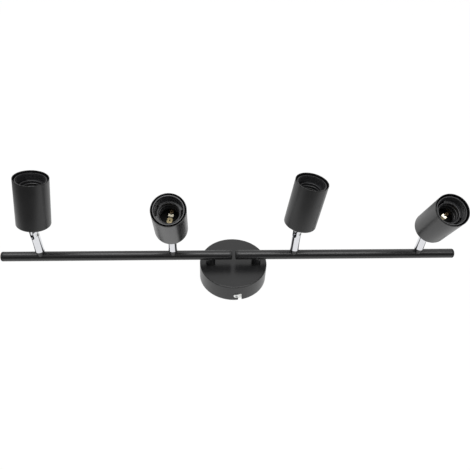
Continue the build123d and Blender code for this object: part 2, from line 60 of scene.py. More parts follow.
# %% Camera at the photograph's angle
IMAGE_SIZE = 470
SENSOR_MM = 36.0
FOCAL_PIXELS = 512.8
CAMERA_PLACE_MM = (-48.7, -525.4, 589.4)
CAMERA_YAW = radians(5.308)
CAMERA_DOWN = radians(43.759)
CAMERA_ROLL = radians(-3.396)
NEAREST_M = 0.01


def make_camera():
    forward = Vector((
        sin(CAMERA_YAW) * cos(CAMERA_DOWN),
        cos(CAMERA_YAW) * cos(CAMERA_DOWN),
        -sin(CAMERA_DOWN),
    ))
    level_right = Vector((cos(CAMERA_YAW), -sin(CAMERA_YAW), 0))
    level_down = forward.cross(level_right)
    right = level_right * cos(CAMERA_ROLL) + level_down * sin(CAMERA_ROLL)
    up = level_right * sin(CAMERA_ROLL) - level_down * cos(CAMERA_ROLL)
    data = bpy.data.cameras.new("photo_camera")
    data.sensor_width = SENSOR_MM
    data.lens = FOCAL_PIXELS / IMAGE_SIZE * SENSOR_MM
    data.clip_start = NEAREST_M
    camera = bpy.data.objects.new("photo_camera", data)
    bpy.context.scene.collection.objects.link(camera)
    turn = Matrix((right, up, -forward)).transposed().to_4x4()
    camera.matrix_world = Matrix.Translation(Vector(CAMERA_PLACE_MM) * MM) @ turn
    bpy.context.scene.camera = camera
    return camera


photo_camera = make_camera()
print("lens:", round(photo_camera.data.lens, 2), "mm")

# %% [markdown]
# Finishes are node trees. One helper adds a node, sets its properties and links its inputs, and
# one turns the hex colours that a paint chart gives into the linear values that a shader needs.
# Most finishes are clouded: where the colour is darker the gloss differs too, so a third helper
# lets one pattern lead both.

# %% Node and colour helpers


def linear(hex_code, alpha=1.0):
    """An sRGB hex colour as the linear values of a shader."""
    channels = [int(hex_code[i:i + 2], 16) / 255 for i in (1, 3, 5)]
    light = [c / 12.92 if c <= 0.04045 else ((c + 0.055) / 1.055) ** 2.4 for c in channels]
    return (*light, alpha)


def add(tree, kind, inputs=None, **settings):
    """A new node with these settings, whose inputs are values or links."""
    node = tree.nodes.new(kind)
    for name, value in settings.items():
        setattr(node, name, value)
    for name, value in (inputs or {}).items():
        if isinstance(value, bpy.types.NodeSocket):
            tree.links.new(value, node.inputs[name])
        else:
            node.inputs[name].default_value = value
    return node


def new_material(name):
    """An empty material: its tree, its Object coordinates and its shader."""
    material = bpy.data.materials.new(name)
    material.use_nodes = True
    tree = material.node_tree
    tree.nodes.clear()
    shader = add(tree, "ShaderNodeBsdfPrincipled")
    add(tree, "ShaderNodeOutputMaterial", {"Surface": shader.outputs["BSDF"]})
    place = add(tree, "ShaderNodeTexCoord").outputs["Object"]
    return material, tree, place, shader


def per_metre(size_mm):
    """Texture scale for a pattern whose marks are this far apart."""
    return 1 / (size_mm * MM)


def cloud_finish(tree, shader, pattern, colours, gloss):
    """Let a pattern lead the colour and the roughness, each from its first to its second value."""
    tint = add(tree, "ShaderNodeMix", {0: pattern, 6: linear(colours[0]), 7: linear(colours[1])},
               data_type="RGBA")
    tree.links.new(tint.outputs[2], shader.inputs["Base Color"])
    rough = add(tree, "ShaderNodeMapRange", {"Value": pattern, "To Min": gloss[0], "To Max": gloss[1]})
    tree.links.new(rough.outputs[0], shader.inputs["Roughness"])


print("grey #808080 is", round(linear("#808080")[0], 3), "in linear light")

# %% [markdown]
# The studio is a sheet of white paper in a dim room. The camera sees it pure white, with only a trace
# of the lamp's shadow, as in the photograph. A black, glossy object is drawn by what it mirrors, so
# the rays that bounce off it see the real set, where the paper is white only around the lamp.
# Light Path tells the rays apart, and the rays that light the object see plain paper.

# %% White paper floor
FLOOR_HALF_M = 4.0
FLOOR_DROP_MM = 0.3
FLOOR_GLOW_SHARE = 0.96
FLOOR_GLOW = 1.03
PAPER_REACH_M = (0.55, 0.24)
PAPER_FADE = (0.85, 1.45)
ROOM_FLOOR_LEVEL = 0.14


def seen_directly(tree):
    """Two switches: 1 for camera, glossy and transmission rays, and 1 for camera rays alone."""
    path = add(tree, "ShaderNodeLightPath")
    from_camera = path.outputs["Is Camera Ray"]
    mirrored = add(tree, "ShaderNodeMath", {
        0: path.outputs["Is Glossy Ray"], 1: path.outputs["Is Transmission Ray"],
    }, operation="MAXIMUM")
    direct = add(tree, "ShaderNodeMath", {0: mirrored.outputs[0], 1: from_camera}, operation="MAXIMUM")
    return direct.outputs[0], from_camera


def white_paper_sweep():
    material = bpy.data.materials.new("white_paper_sweep")
    material.use_nodes = True
    tree = material.node_tree
    tree.nodes.clear()
    place = add(tree, "ShaderNodeTexCoord").outputs["Object"]
    scale = (1 / PAPER_REACH_M[0], 1 / PAPER_REACH_M[1], 0)
    oval = add(tree, "ShaderNodeVectorMath", {0: place, 1: scale}, operation="MULTIPLY")
    reach = add(tree, "ShaderNodeVectorMath", {0: oval.outputs[0]}, operation="LENGTH")
    fade = add(tree, "ShaderNodeMapRange", {
        "Value": reach.outputs["Value"], "From Min": PAPER_FADE[0], "From Max": PAPER_FADE[1],
        "To Min": 1.0, "To Max": ROOM_FLOOR_LEVEL,
    }, interpolation_type="SMOOTHSTEP")
    direct, from_camera = seen_directly(tree)
    shown = add(tree, "ShaderNodeMath", {0: from_camera, 1: FLOOR_GLOW}, operation="MULTIPLY")
    level = add(tree, "ShaderNodeMath", {0: fade.outputs[0], 1: shown.outputs[0]}, operation="MAXIMUM")
    paper = add(tree, "ShaderNodeBsdfDiffuse", {"Color": linear("#fdfdfd")})
    glow = add(tree, "ShaderNodeEmission", {"Color": linear("#ffffff"), "Strength": level.outputs[0]})
    share = add(tree, "ShaderNodeMath", {0: direct, 1: FLOOR_GLOW_SHARE}, operation="MULTIPLY")
    mix = add(tree, "ShaderNodeMixShader", {
        0: share.outputs[0], 1: paper.outputs[0], 2: glow.outputs[0],
    })
    add(tree, "ShaderNodeOutputMaterial", {"Surface": mix.outputs[0]})
    return material


def make_floor():
    sheet = bmesh.new()
    corners = [(-1, -1), (1, -1), (1, 1), (-1, 1)]
    sheet.faces.new([
        sheet.verts.new((x * FLOOR_HALF_M, y * FLOOR_HALF_M, -FLOOR_DROP_MM * MM)) for x, y in corners
    ])
    mesh = bpy.data.meshes.new("studio_floor")
    sheet.to_mesh(mesh)
    sheet.free()
    mesh.materials.append(white_paper_sweep())
    floor = bpy.data.objects.new("studio_floor", mesh)
    bpy.context.scene.collection.objects.link(floor)


make_floor()
print("floor: white paper,", PAPER_REACH_M, "m to each side")

# %% [markdown]
# The room beyond the paper has a pale backdrop and a front that is dark low down and pale high up.
# The dark front draws the black band along the tubes and the dark arc at the canopy's edge. Both
# are written as levels that rise with the height of a ray, and a third range blends them from front
# to back. The rays that light the object see an even, dim fill, so black stays black.

# %% The room around it
ROOM_FILL = 0.28
FRONT_LEVELS = (0.10, 0.75)
FRONT_RISE = (0.4, 0.97)
BACK_LEVELS = (0.75, 0.9)
BACK_RISE = (0.1, 0.9)
FRONT_TO_BACK = (-0.2, 0.5)


def make_world():
    world = bpy.data.worlds.new("white_studio")
    world.use_nodes = True
    tree = world.node_tree
    tree.nodes.clear()
    way = add(tree, "ShaderNodeTexCoord").outputs["Generated"]
    parts = add(tree, "ShaderNodeSeparateXYZ", {0: way})
    behind = add(tree, "ShaderNodeMapRange", {
        "Value": parts.outputs["Y"], "From Min": FRONT_TO_BACK[0], "From Max": FRONT_TO_BACK[1],
        "To Min": 0.0, "To Max": 1.0,
    }, interpolation_type="SMOOTHSTEP")
    front = add(tree, "ShaderNodeMapRange", {
        "Value": parts.outputs["Z"], "From Min": FRONT_RISE[0], "From Max": FRONT_RISE[1],
        "To Min": FRONT_LEVELS[0], "To Max": FRONT_LEVELS[1],
    }, interpolation_type="SMOOTHSTEP")
    back = add(tree, "ShaderNodeMapRange", {
        "Value": parts.outputs["Z"], "From Min": BACK_RISE[0], "From Max": BACK_RISE[1],
        "To Min": BACK_LEVELS[0], "To Max": BACK_LEVELS[1],
    }, interpolation_type="SMOOTHSTEP")
    room = add(tree, "ShaderNodeMix", {0: behind.outputs[0], 2: front.outputs[0], 3: back.outputs[0]})
    direct, from_camera = seen_directly(tree)
    level = add(tree, "ShaderNodeMath", {0: room.outputs[0], 1: from_camera}, operation="MAXIMUM")
    lit = add(tree, "ShaderNodeBackground", {"Color": linear("#ffffff"), "Strength": ROOM_FILL})
    seen = add(tree, "ShaderNodeBackground", {"Color": linear("#ffffff"), "Strength": level.outputs[0]})
    mix = add(tree, "ShaderNodeMixShader", {0: direct, 1: lit.outputs[0], 2: seen.outputs[0]})
    add(tree, "ShaderNodeOutputWorld", {"Surface": mix.outputs[0]})
    bpy.context.scene.world = world


make_world()
bpy.context.scene.view_settings.view_transform = "Standard"
print("room: fill light", ROOM_FILL)

# %% [markdown]
# One long soft box hangs over the bar, a little to the front. Its image is the bright line along the
# tubes and the ring of light on each lamp's lip. That line sinks slightly from left to right in the
# photograph, and the lip on the far right is dim, so the box is turned. Its width keeps the edges
# of the highlights soft.

# %% Overhead soft box
BOX_PLACE_M = (0.03, -0.15, 1.1)
BOX_TURN_DEG = -27.0
BOX_SIZE_M = (1.8, 0.5)
BOX_POWER_W = 9.0


def make_soft_box():
    data = bpy.data.lights.new("overhead_soft_box", "AREA")
    data.shape = "RECTANGLE"
    data.size, data.size_y = BOX_SIZE_M
    data.energy = BOX_POWER_W
    lamp = bpy.data.objects.new("overhead_soft_box", data)
    lamp.location = BOX_PLACE_M
    lamp.rotation_euler.z = radians(BOX_TURN_DEG)
    lamp.visible_camera = False
    bpy.context.scene.collection.objects.link(lamp)


make_soft_box()
print("soft box:", BOX_SIZE_M, "m,", BOX_POWER_W, "W")

# %% [markdown]
# Satin black powder coat covers the canopy, the tubes and the shades. The powder melts into a
# skin with a very fine orange peel: soft highlights, and a colour that is never quite even.
# The peel is about 0.4 mm from crest to crest; it is drawn a little coarser so that it shows.
# The melt also flows round edges, most of all on the canopy, which is pressed from sheet, so a
# Bevel node rounds the light on every edge without changing the solid.

# %% Satin black powder coat
COAT_CLOUD_MM = 18
COAT_PEEL_MM = 0.6
COAT_PEEL_HEIGHT_MM = 0.06
COAT_IOR = 1.58
TURNED_EDGE_MM = 1.2
PRESSED_EDGE_MM = 2.5


def satin_black_powder_coat(name, edge_mm):
    material, tree, place, shader = new_material(name)
    cloud = add(tree, "ShaderNodeTexNoise", {
        "Vector": place, "Scale": per_metre(COAT_CLOUD_MM), "Detail": 3.0,
    })
    cloud_finish(tree, shader, cloud.outputs[0], ("#161617", "#1f1f20"), (0.28, 0.36))
    flow = add(tree, "ShaderNodeBevel", {"Radius": edge_mm * MM}, samples=8)
    peel = add(tree, "ShaderNodeTexNoise", {
        "Vector": place, "Scale": per_metre(COAT_PEEL_MM), "Detail": 2.0,
    })
    bump = add(tree, "ShaderNodeBump", {
        "Height": peel.outputs[0], "Strength": 0.12, "Distance": COAT_PEEL_HEIGHT_MM * MM,
        "Normal": flow.outputs[0],
    })
    tree.links.new(bump.outputs[0], shader.inputs["Normal"])
    shader.inputs["IOR"].default_value = COAT_IOR
    return material


powder_coat = satin_black_powder_coat("satin_black_powder_coat", TURNED_EDGE_MM)
canopy_coat = satin_black_powder_coat("satin_black_powder_coat_on_pressing", PRESSED_EDGE_MM)
print("finish:", powder_coat.name, canopy_coat.name)

# %% [markdown]
# The stems and knuckles are bright chrome plate on brass. Chrome is nearly a mirror, so its look
# comes from the white studio and the black pieces around it. Faint polishing haze keeps it from
# looking like a drawing.

# %% Polished chrome plate
HAZE_MM = 5


def polished_chrome_plate():
    material, tree, place, shader = new_material("polished_chrome_plate")
    haze = add(tree, "ShaderNodeTexNoise", {"Vector": place, "Scale": per_metre(HAZE_MM), "Detail": 4.0})
    cloud_finish(tree, shader, haze.outputs[0], ("#d9dade", "#e6e7ea"), (0.06, 0.14))
    shader.inputs["Metallic"].default_value = 1.0
    return material


chrome = polished_chrome_plate()
print("finish:", chrome.name)

# %% [markdown]
# The bracket is zinc-plated strip and the screws are bright zinc. Plating grows in small grains
# of slightly different grey, which a cell pattern a few millimetres wide gives. An Ambient
# Occlusion node paints shade into the colour: it darkens what lies in a hollow about a millimetre
# wide, such as a screw's cross recess, where shade falls.

# %% Zinc plate
HOLLOW_MM = 1.0
HOLLOW_OPEN = (0.3, 0.85)
UNSHADED_SHARE = (0.04, 1.0)
GRAIN_GLOSS = 0.12


def zinc_plate(name, colours, rough, grain_mm):
    material, tree, place, shader = new_material(name)
    grain = add(tree, "ShaderNodeTexVoronoi", {"Vector": place, "Scale": per_metre(grain_mm)})
    tint = add(tree, "ShaderNodeMix", {
        0: grain.outputs["Color"], 6: linear(colours[0]), 7: linear(colours[1]),
    }, data_type="RGBA")
    # Painted shade: the occlusion measured here darkens the colour in hollows about a millimetre wide.
    hollow = add(tree, "ShaderNodeAmbientOcclusion", {"Distance": HOLLOW_MM * MM},
                 samples=8, only_local=True)
    unshaded_share = add(tree, "ShaderNodeMapRange", {
        "Value": hollow.outputs["AO"], "From Min": HOLLOW_OPEN[0], "From Max": HOLLOW_OPEN[1],
        "To Min": UNSHADED_SHARE[0], "To Max": UNSHADED_SHARE[1],
    })
    # In the hollows the plate colour is mixed towards near black: painted shade in the recesses.
    recess_shaded = add(tree, "ShaderNodeMix", {0: unshaded_share.outputs[0], 6: linear("#1c1b19"), 7: tint.outputs[2]},
               data_type="RGBA")
    tree.links.new(recess_shaded.outputs[2], shader.inputs["Base Color"])
    gloss = add(tree, "ShaderNodeMapRange", {
        "Value": grain.outputs["Distance"], "To Min": rough, "To Max": rough + GRAIN_GLOSS,
    })
    tree.links.new(gloss.outputs[0], shader.inputs["Roughness"])
    shader.inputs["Metallic"].default_value = 1.0
    return material


zinc_strip = zinc_plate("zinc_plated_strip", ("#d0d1ce", "#e6e7e4"), 0.30, grain_mm=2.5)
bright_zinc = zinc_plate("bright_zinc_screw", ("#dedfde", "#f2f3f2"), 0.22, grain_mm=1.2)
print("finish:", zinc_strip.name, bright_zinc.name)

# %% [markdown]
# The lampholders are pressed from black thermoset, which keeps its gloss only where the mould was
# polished. The block at the bottom of the bore is a darker, matt copy of that black: partly the
# block's own finish and partly painted shade for the deep floor of the bore. The end plugs are
# moulded black polyamide and the friction washers black nylon, whose black also paints the shade
# in the knuckle's slot. All are one recipe with other values: the melt's flow clouds the surface,
# and the mould's own grain gives it a fine skin.

# %% Black mouldings
MELT_FLOW_MM = 9
MELT_GLOSS = 0.14
SKIN_HEIGHT_MM = 0.05


def black_moulding(name, colours, rough, grain_mm, ior=1.5):
    material, tree, place, shader = new_material(name)
    flow = add(tree, "ShaderNodeTexNoise", {
        "Vector": place, "Scale": per_metre(MELT_FLOW_MM), "Detail": 3.0,
    })
    cloud_finish(tree, shader, flow.outputs[0], colours, (rough, rough + MELT_GLOSS))
    skin = add(tree, "ShaderNodeTexNoise", {
        "Vector": place, "Scale": per_metre(grain_mm), "Detail": 2.0,
    })
    bump = add(tree, "ShaderNodeBump", {
        "Height": skin.outputs[0], "Strength": 0.15, "Distance": SKIN_HEIGHT_MM * MM,
    })
    tree.links.new(bump.outputs[0], shader.inputs["Normal"])
    shader.inputs["IOR"].default_value = ior
    return material


thermoset = black_moulding("black_thermoset_lampholder", ("#262628", "#2e2e30"), 0.24, grain_mm=0.5)
# The contact block's near-black colour and weak gloss are partly painted shade for the deep bore floor.
block_black_and_shade = black_moulding("matt_black_contact_block_and_painted_shade", ("#090909", "#0f0f0f"), 0.62, grain_mm=0.4,
                             ior=1.3)
plug_black = black_moulding("black_polyamide_plug", ("#131314", "#1b1b1c"), 0.42, grain_mm=0.7)
# The washers' black is partly their own and partly painted shade for the knuckle's slot.
washer_black_and_slot_shade = black_moulding("black_nylon_washer_and_painted_slot_shade", ("#101011", "#1a1a1b"), 0.5, grain_mm=0.4)
print("finish:", thermoset.name, block_black_and_shade.name, plug_black.name, washer_black_and_slot_shade.name)

# %% [markdown]
# The contacts are stamped from metal strip: a dull brass plate, a spring of tinned bronze and a
# brown eyelet. Handling leaves tarnish in patches a few millimetres wide, and tarnish is rougher
# than clean metal. One recipe serves all three.

# %% Stamped contact strip
TARNISH_MM = 3
TARNISH_GLOSS = 0.14


def contact_strip(name, colours, rough):
    material, tree, place, shader = new_material(name)
    tarnish = add(tree, "ShaderNodeTexNoise", {
        "Vector": place, "Scale": per_metre(TARNISH_MM), "Detail": 4.0,
    })
    cloud_finish(tree, shader, tarnish.outputs[0], colours, (rough + TARNISH_GLOSS, rough))
    shader.inputs["Metallic"].default_value = 1.0
    return material


brass = contact_strip("dull_stamped_brass", ("#7d7052", "#a3987a"), 0.42)
tinned_bronze = contact_strip("tinned_bronze_spring", ("#e0d8c0", "#f0ead6"), 0.26)
eyelet_brass = contact_strip("brown_eyelet_brass", ("#9a8260", "#c0a684"), 0.40)
print("finish:", brass.name, tinned_bronze.name, eyelet_brass.name)

# %% [markdown]
# The terminal block is milky white nylon, and the leads have a smooth white PVC sheath. They are
# hidden when the lamp is up, but they show from below while it is being wired. Both plastics are
# faintly clouded, and the cloudier parts are a little less glossy.

# %% White nylon and sheath
PLASTIC_GLOSS = 0.1


def white_plastic(name, colours, rough, cloud_mm):
    material, tree, place, shader = new_material(name)
    cloud = add(tree, "ShaderNodeTexNoise", {
        "Vector": place, "Scale": per_metre(cloud_mm), "Detail": 3.0,
    })
    cloud_finish(tree, shader, cloud.outputs[0], colours, (rough, rough + PLASTIC_GLOSS))
    return material


nylon = white_plastic("milky_nylon_block", ("#d9d6cb", "#e8e6dd"), 0.42, cloud_mm=6)
sheath = white_plastic("white_pvc_sheath", ("#cfcec9", "#dddcd7"), 0.34, cloud_mm=4)
print("finish:", nylon.name, sheath.name)

# %% [markdown]
# Each solid names a material slot in the record. A table from slot to finish dresses them all. Two
# kinds have a finish of their own: the canopy, with its rounder paint, and the contact blocks,
# whose black is matt and darker, partly as painted shade for the floor of the bore.

# %% Dress the solids
HEADS = (1, 2, 3, 4)
FINISH = {
    "black_body": powder_coat,
    "chrome_stem": chrome,
    "zinc_bracket": zinc_strip,
    "zinc_screw": bright_zinc,
    "black_holder": thermoset,
    "black_cap": plug_black,
    "brass_contact": brass,
    "terminal_white": nylon,
    "lead_sheath": sheath,
}
OWN_FINISH = {"canopy": canopy_coat}
OWN_FINISH.update({f"contact_block_{number}": block_black_and_shade for number in HEADS})
for part in record["subparts"]:
    mesh = nodes[part["node"]].data
    mesh.materials.clear()
    mesh.materials.append(OWN_FINISH.get(part["node"], FINISH[part["material_slot"]]))
print("dressed:", len(record["subparts"]))

# %% [markdown]
# The fine pieces are drawn in millimetres, in the frame of the head that carries them: the origin
# at the middle of the shade's mouth, Z out along the lamp, X towards the side contact. The record
# gives each head's knuckle pin and the way it aims, and only the turn of the lampholder in its
# shade is added here. A matrix then moves the finished mesh, so every object stays at the origin.

# %% Frames of the four heads
MOUTH_MM = 84.6
SOCKET_TURNS = {1: 0.0, 2: -12.0, 3: 0.0, 4: -50.0}
joint_of = {joint["name"]: joint for joint in record["behaviour"]["joints"]}
mount_of = {mount["name"]: mount for mount in record["mounts"]}


def matrix_of(x_way, z_way, origin):
    """Matrix from millimetres in a local frame to the shared frame in metres."""
    y_way = z_way.cross(x_way)
    turn = Matrix((x_way, y_way, z_way)).transposed().to_4x4()
    return Matrix.Translation(origin) @ turn @ Matrix.Scale(MM, 4)


def head_matrix(number):
    """Frame of a head: origin in the shade's mouth, Z out along the lamp."""
    pivot = Vector(joint_of[f"tilt_{number}"]["pos_m"])
    pin = Vector(joint_of[f"tilt_{number}"]["axis"])
    aim = Vector(mount_of[f"lamp_socket_{number}"]["axis"])
    contact_way = Matrix.Rotation(radians(SOCKET_TURNS[number]), 3, aim) @ aim.cross(pin)
    return matrix_of(contact_way, aim, pivot + aim * MOUTH_MM * MM)


def knuckle_matrix(number):
    """Frame of a knuckle screw: origin on the stem's axis, Z towards the screw's head."""
    pin = Vector(joint_of[f"tilt_{number}"]["axis"])
    return matrix_of(Vector((0, 0, 1)), -pin, Vector(joint_of[f"tilt_{number}"]["pos_m"]))


print("head 2 looks along", [round(v, 3) for v in head_matrix(2).col[2].xyz.normalized()])

# %% [markdown]
# Geometry Nodes grow what follows a rule. Four helpers are enough: one starts a tree with named
# inputs, one ends it, one sets those inputs by their identifiers and turns the result into a plain
# mesh, and one finishes any piece: smooth faces, its place and the body it rides on.

# %% Growing and finishing pieces
SHARP_EDGE_DEG = 35


def new_tree(name, sizes):
    """A node tree with an input for each named size and one for the finish."""
    tree = bpy.data.node_groups.new(name, "GeometryNodeTree")
    tree.interface.new_socket("Geometry", in_out="INPUT", socket_type="NodeSocketGeometry")
    kinds = {float: "NodeSocketFloat", int: "NodeSocketInt"}
    for size, value in sizes.items():
        socket = tree.interface.new_socket(size, in_out="INPUT", socket_type=kinds[type(value)])
        socket.default_value = value
    tree.interface.new_socket("Finish", in_out="INPUT", socket_type="NodeSocketMaterial")
    tree.interface.new_socket("Geometry", in_out="OUTPUT", socket_type="NodeSocketGeometry")
    return tree, add(tree, "NodeGroupInput").outputs


def end_tree(tree, shape, given):
    """Make the shape's instances real, paint it and give it out."""
    whole = add(tree, "GeometryNodeRealizeInstances", {0: shape})
    painted = add(tree, "GeometryNodeSetMaterial", {
        "Geometry": whole.outputs[0], "Material": given["Finish"],
    })
    add(tree, "NodeGroupOutput", {"Geometry": painted.outputs[0]})


def grow(tree, mesh, finish, sizes):
    """Run a tree on a mesh with these sizes, and give the result as a plain mesh."""
    seed = bpy.data.objects.new("seed", mesh)
    bpy.context.scene.collection.objects.link(seed)
    modifier = seed.modifiers.new("grow", "NODES")
    modifier.node_group = tree
    wanted = {**sizes, "Finish": finish}
    for item in tree.interface.items_tree:
        if item.in_out == "INPUT" and item.name in wanted:
            modifier[item.identifier] = wanted[item.name]
    graph = bpy.context.evaluated_depsgraph_get()
    result = bpy.data.meshes.new_from_object(seed.evaluated_get(graph), depsgraph=graph)
    bpy.data.objects.remove(seed)
    result.materials.clear()
    result.materials.append(finish)
    result.polygons.foreach_set("material_index", [0] * len(result.polygons))
    return result


def finish_piece(name, mesh, matrix, body):
    """An object at the origin whose mesh has its place, riding on its body."""
    mesh.name = name
    mesh.transform(matrix)
    for face in mesh.polygons:
        face.use_smooth = True
    mesh.set_sharp_from_angle(angle=radians(SHARP_EDGE_DEG))
    piece = bpy.data.objects.new(name, mesh)
    bpy.context.scene.collection.objects.link(piece)
    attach(piece, body)
    return piece


print("edges stay crisp where faces meet at more than", SHARP_EDGE_DEG, "degrees")

# %% [markdown]
# The lampholder's bore has the round, coarse thread of a 27 mm screw lamp: seven turns to the inch.
# A cut thread would need a heavy solid. A round bead that climbs the bore in a spiral, and fades in
# and out at its ends, gives the same picture, and the same tree makes the fine thread of the
# nipples under the arms.

# %% Threads
LAMP_THREAD = {"Radius": 13.45, "Pitch": 3.62, "Turns": 5.0, "Bead": 1.0, "Steps": 40}
LAMP_THREAD_DEPTH_MM = 31.2
NIPPLE_THREAD = {"Radius": 4.9, "Pitch": 1.0, "Turns": 4.6, "Bead": 0.36, "Steps": 24}
NIPPLE_FOOT_MM = 15.2
FADE_START = 0.42
FADE_TIP = 0.05
BEAD_SIDES = 10


def thread_tree():
    tree, given = new_tree("round_thread", LAMP_THREAD)
    height = add(tree, "ShaderNodeMath", {0: given["Pitch"], 1: given["Turns"]}, operation="MULTIPLY")
    spiral = add(tree, "GeometryNodeCurveSpiral", {
        "Resolution": given["Steps"], "Rotations": given["Turns"], "Start Radius": given["Radius"],
        "End Radius": given["Radius"], "Height": height.outputs[0],
    })
    along = add(tree, "GeometryNodeSplineParameter").outputs["Factor"]
    rise = add(tree, "ShaderNodeMath", {0: along, 1: 0.5}, operation="SUBTRACT")
    from_middle = add(tree, "ShaderNodeMath", {0: rise.outputs[0]}, operation="ABSOLUTE")
    fade = add(tree, "ShaderNodeMapRange", {
        "Value": from_middle.outputs[0], "From Min": FADE_START, "From Max": 0.5,
        "To Min": 1.0, "To Max": FADE_TIP,
    }, interpolation_type="SMOOTHSTEP")
    tapered = add(tree, "GeometryNodeSetCurveRadius", {0: spiral.outputs[0], "Radius": fade.outputs[0]})
    bead = add(tree, "GeometryNodeCurvePrimitiveCircle", {
        "Resolution": BEAD_SIDES, "Radius": given["Bead"],
    })
    ridge = add(tree, "GeometryNodeCurveToMesh", {
        "Curve": tapered.outputs[0], "Profile Curve": bead.outputs[0], "Fill Caps": True,
    })
    tree.links.new(fade.outputs[0], ridge.inputs["Scale"])
    end_tree(tree, ridge.outputs[0], given)
    return tree


round_thread = thread_tree()
for number in HEADS:
    thread_mesh = grow(round_thread, bpy.data.meshes.new("seed"), thermoset, LAMP_THREAD)
    deep = head_matrix(number) @ Matrix.Translation((0, 0, -LAMP_THREAD_DEPTH_MM))
    finish_piece(f"lamp_thread_{number}", thread_mesh, deep, f"head_{number}")
for side in ("left", "right"):
    nipple_mesh = grow(round_thread, bpy.data.meshes.new("seed"), powder_coat, NIPPLE_THREAD)
    post_x = joint_of[f"swing_{side}"]["pos_m"][0]
    foot = Matrix.Translation((post_x, 0, NIPPLE_FOOT_MM * MM)) @ Matrix.Scale(MM, 4)
    finish_piece(f"nipple_thread_{side}", nipple_mesh, foot, f"arm_{side}")
print("threads: 4 lamp threads,", len(nipple_mesh.polygons), "faces in a nipple thread")

# %% [markdown]
# The wall between a lampholder's lip and its ledge carries fine rings, left where the ring nut of a
# glass shade would screw on. They are circles with a small bead, one above the other, and each is a
# little narrower than the last because the wall tapers.

# %% Rings in the recess
RECESS_RINGS = {"Count": 5, "Pitch": 1.4, "Radius": 18.7, "Taper": 0.11, "Bead": 0.24}
FIRST_RING_DEPTH_MM = 4.2
RING_STEPS = 72
RING_SIDES = 8


def ring_tree():
    tree, given = new_tree("recess_rings", RECESS_RINGS)
    down = add(tree, "ShaderNodeMath", {0: given["Pitch"], 1: -1.0}, operation="MULTIPLY")
    step = add(tree, "ShaderNodeCombineXYZ", {"Z": down.outputs[0]})
    levels = add(tree, "GeometryNodeMeshLine", {"Count": given["Count"], "Offset": step.outputs[0]})
    circle = add(tree, "GeometryNodeCurvePrimitiveCircle", {
        "Resolution": RING_STEPS, "Radius": given["Radius"],
    })
    bead = add(tree, "GeometryNodeCurvePrimitiveCircle", {
        "Resolution": RING_SIDES, "Radius": given["Bead"],
    })
    ring = add(tree, "GeometryNodeCurveToMesh", {
        "Curve": circle.outputs[0], "Profile Curve": bead.outputs[0],
    })
    index = add(tree, "GeometryNodeInputIndex").outputs[0]
    narrower = add(tree, "ShaderNodeMath", {0: index, 1: given["Taper"]}, operation="MULTIPLY")
    share = add(tree, "ShaderNodeMath", {
        0: narrower.outputs[0], 1: given["Radius"],
    }, operation="DIVIDE")
    across = add(tree, "ShaderNodeMath", {0: 1.0, 1: share.outputs[0]}, operation="SUBTRACT")
    size = add(tree, "ShaderNodeCombineXYZ", {"X": across.outputs[0], "Y": across.outputs[0], "Z": 1.0})
    rings = add(tree, "GeometryNodeInstanceOnPoints", {
        "Points": levels.outputs[0], "Instance": ring.outputs[0], "Scale": size.outputs[0],
    })
    end_tree(tree, rings.outputs[0], given)
    return tree


recess_rings = ring_tree()
for number in HEADS:
    ring_mesh = grow(recess_rings, bpy.data.meshes.new("seed"), thermoset, RECESS_RINGS)
    top = head_matrix(number) @ Matrix.Translation((0, 0, -FIRST_RING_DEPTH_MM))
    finish_piece(f"recess_rings_{number}", ring_mesh, top, f"head_{number}")
print("recess rings:", RECESS_RINGS["Count"], "in each head")

# %% [markdown]
# Screws repeat, so one tree makes them all. It begins with a pan head: a cylinder whose top is pulled
# down towards its rim, and a cross recess that two small blocks cut out of it.

# %% Screw head
SIDE_SCREW = {"Head Radius": 4.0, "Head Height": 1.8, "Crown": 1.2, "Shank Radius": 2.0,
              "Shank Length": 7.0, "Recess Width": 1.2, "Recess Length": 3.8, "Recess Depth": 1.2}
KNUCKLE_SCREW = {"Head Radius": 2.75, "Head Height": 1.5, "Crown": 0.4, "Shank Radius": 2.0,
                 "Shank Length": 10.2, "Recess Width": 0.8, "Recess Length": 3.4, "Recess Depth": 1.0}
CROWN_POWER = 2.6
NEAR_TOP = 0.49
HEAD_SIDES = 40


def crowned_head(tree, given):
    """A cylinder about the origin whose top drops towards its rim."""
    head = add(tree, "GeometryNodeMeshCylinder", {
        "Vertices": HEAD_SIDES, "Side Segments": 1, "Fill Segments": 6,
        "Radius": given["Head Radius"], "Depth": given["Head Height"],
    }, fill_type="TRIANGLE_FAN")
    near_top = add(tree, "ShaderNodeMath", {
        0: given["Head Height"], 1: NEAR_TOP,
    }, operation="MULTIPLY")
    place = add(tree, "GeometryNodeInputPosition").outputs[0]
    level = add(tree, "ShaderNodeSeparateXYZ", {0: place}).outputs["Z"]
    is_top = add(tree, "FunctionNodeCompare", {
        0: level, 1: near_top.outputs[0],
    }, operation="GREATER_THAN")
    flat = add(tree, "ShaderNodeVectorMath", {0: place, 1: (1.0, 1.0, 0.0)}, operation="MULTIPLY")
    reach = add(tree, "ShaderNodeVectorMath", {0: flat.outputs[0]}, operation="LENGTH")
    share = add(tree, "ShaderNodeMath", {
        0: reach.outputs["Value"], 1: given["Head Radius"],
    }, operation="DIVIDE")
    bend = add(tree, "ShaderNodeMath", {0: share.outputs[0], 1: CROWN_POWER}, operation="POWER")
    drop = add(tree, "ShaderNodeMath", {0: bend.outputs[0], 1: given["Crown"]}, operation="MULTIPLY")
    lower = add(tree, "ShaderNodeMath", {0: drop.outputs[0], 1: -1.0}, operation="MULTIPLY")
    shift = add(tree, "ShaderNodeCombineXYZ", {"Z": lower.outputs[0]})
    crowned = add(tree, "GeometryNodeSetPosition", {
        "Geometry": head.outputs["Mesh"], "Selection": is_top.outputs[0], "Offset": shift.outputs[0],
    })
    return crowned.outputs[0]


